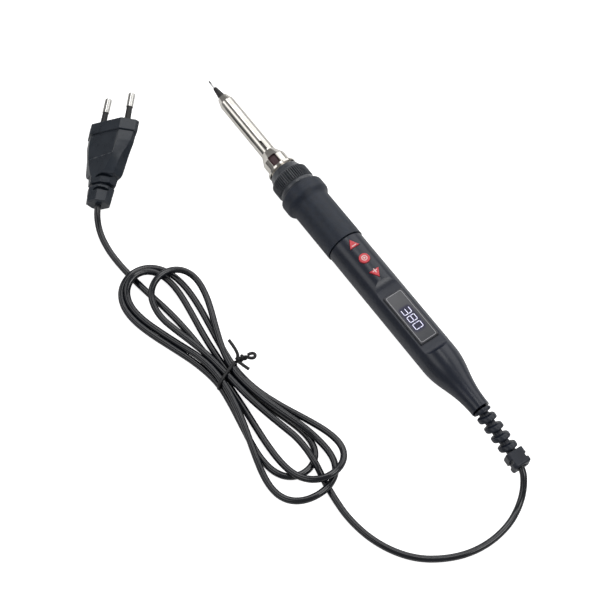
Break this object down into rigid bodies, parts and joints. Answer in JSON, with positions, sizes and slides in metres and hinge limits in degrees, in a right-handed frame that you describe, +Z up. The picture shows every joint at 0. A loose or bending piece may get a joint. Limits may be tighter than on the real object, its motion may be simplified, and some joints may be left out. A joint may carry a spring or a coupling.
{
  "type": "soldering iron",
  "caption": "Pencil soldering iron with a display, push buttons and a conical tip, its mains cord tied in a hank and ending in a slim flat mains plug.",
  "frame": {"origin": "on the floor under the middle of the iron, whose grip flange rests on the floor", "axes": "+X along the iron from its tip to its cord end; +Z up, the way the buttons and the display face; the tied cord and its plug lie at -Y"},
  "size_m": [0.3339, 0.1305, 0.0263],
  "materials": {
    "tip_metal": "dark plated cone with a bright tinned needle point",
    "barrel_steel": "polished stainless tube",
    "nut_plastic": "dark grey heat-resistant moulding, satin",
    "core_plastic": "dark heat-resistant moulding",
    "collar_phenolic": "dark brown insulating collar",
    "heater_ceramic": "white unglazed ceramic",
    "lead_sleeve": "white braided sleeving",
    "grip_rubber": "soft matte black",
    "shell_plastic": "satin near-black",
    "screw_steel": "zinc-plated",
    "window_glass": "smoked clear plastic with a thin pale border",
    "panel_glass": "dark glass panel",
    "holder_plastic": "black moulding",
    "digit_glow": "lit blue-white",
    "pin_brass": "plated",
    "button_red": "coral red, satin",
    "switch_black": "black moulding",
    "plunger_grey": "grey moulding",
    "board_green": "green lacquered laminate",
    "chip_black": "moulded epoxy",
    "capacitor_film": "dipped orange",
    "capacitor_can": "sleeved can",
    "resistor_body": "tan lacquer",
    "relief_rubber": "soft black",
    "clamp_plastic": "black moulding",
    "lead_pvc": "coloured insulation",
    "cord_pvc": "smooth black",
    "tie_wire": "black coated wire",
    "plug_pvc": "satin charcoal moulding",
    "sleeve_black": "black insulation",
    "pin_nickel": "nickel plated"
  },
  "bodies": {
    "handle": {"board_screws": "screw_steel", "cable_clamp": "clamp_plastic", "clamp_screws": "screw_steel", "control_board": "board_green", "controller_chip": "chip_black", "cord_hank": "cord_pvc", "cord_inside": "cord_pvc", "cord_lead": "cord_pvc", "cord_tail": "cord_pvc", "display_digits": "digit_glow", "display_holder": "holder_plastic", "display_panel": "panel_glass", "display_pins": "pin_brass", "display_window": "window_glass", "film_capacitor": "capacitor_film", "front_core": "core_plastic", "heater_collar": "collar_phenolic", "heater_leads": "lead_sleeve", "heater_rod": "heater_ceramic", "lower_shell": "shell_plastic", "mains_leads": "lead_pvc", "pin_sleeves": "sleeve_black", "plug_body": "plug_pvc", "plug_pins": "pin_nickel", "power_triac": "chip_black", "resistors": "resistor_body", "rubber_grip": "grip_rubber", "shell_screws": "screw_steel", "smoothing_capacitor": "capacitor_can", "strain_relief": "relief_rubber", "switch_minus": "switch_black", "switch_plus": "switch_black", "switch_power": "switch_black", "twist_tie": "tie_wire", "upper_shell": "shell_plastic"},
    "tip": {"soldering_tip": "tip_metal"},
    "barrel": {"barrel_tube": "barrel_steel"},
    "nut": {"barrel_nut": "nut_plastic"},
    "button_minus": {"button_minus": "button_red", "plunger_minus": "plunger_grey"},
    "button_power": {"button_power": "button_red", "plunger_power": "plunger_grey"},
    "button_plus": {"button_plus": "button_red", "plunger_plus": "plunger_grey"}
  },
  "joints": [
    {"name": "tip_pull", "type": "slide", "parent": "handle", "child": "tip", "axis": [-1, 0, 0], "range_m": [0, 0.062]},
    {"name": "barrel_advance", "type": "slide", "parent": "tip", "child": "barrel", "axis": [-1, 0, 0], "range_m": [0, 0.00601]},
    {"name": "nut_turn", "type": "hinge", "parent": "barrel", "child": "nut", "pos_m": [-0.06, 0, 0.01315], "axis": [-1, 0, 0], "range_deg": [0, 1440]},
    {"name": "minus_press", "type": "slide", "parent": "handle", "child": "button_minus", "axis": [0, 0, -1], "range_m": [0, 0.0004], "stiffness_N_per_m": 1000, "springref_m": -0.0004},
    {"name": "power_press", "type": "slide", "parent": "handle", "child": "button_power", "axis": [0, 0, -1], "range_m": [0, 0.0004], "stiffness_N_per_m": 1000, "springref_m": -0.0004},
    {"name": "plus_press", "type": "slide", "parent": "handle", "child": "button_plus", "axis": [0, 0, -1], "range_m": [0, 0.0004], "stiffness_N_per_m": 1000, "springref_m": -0.0004}
  ],
  "couplings": [
    {"joint": "barrel_advance", "follows": "nut_turn", "m_per_rad": 0.00023873}
  ]
}
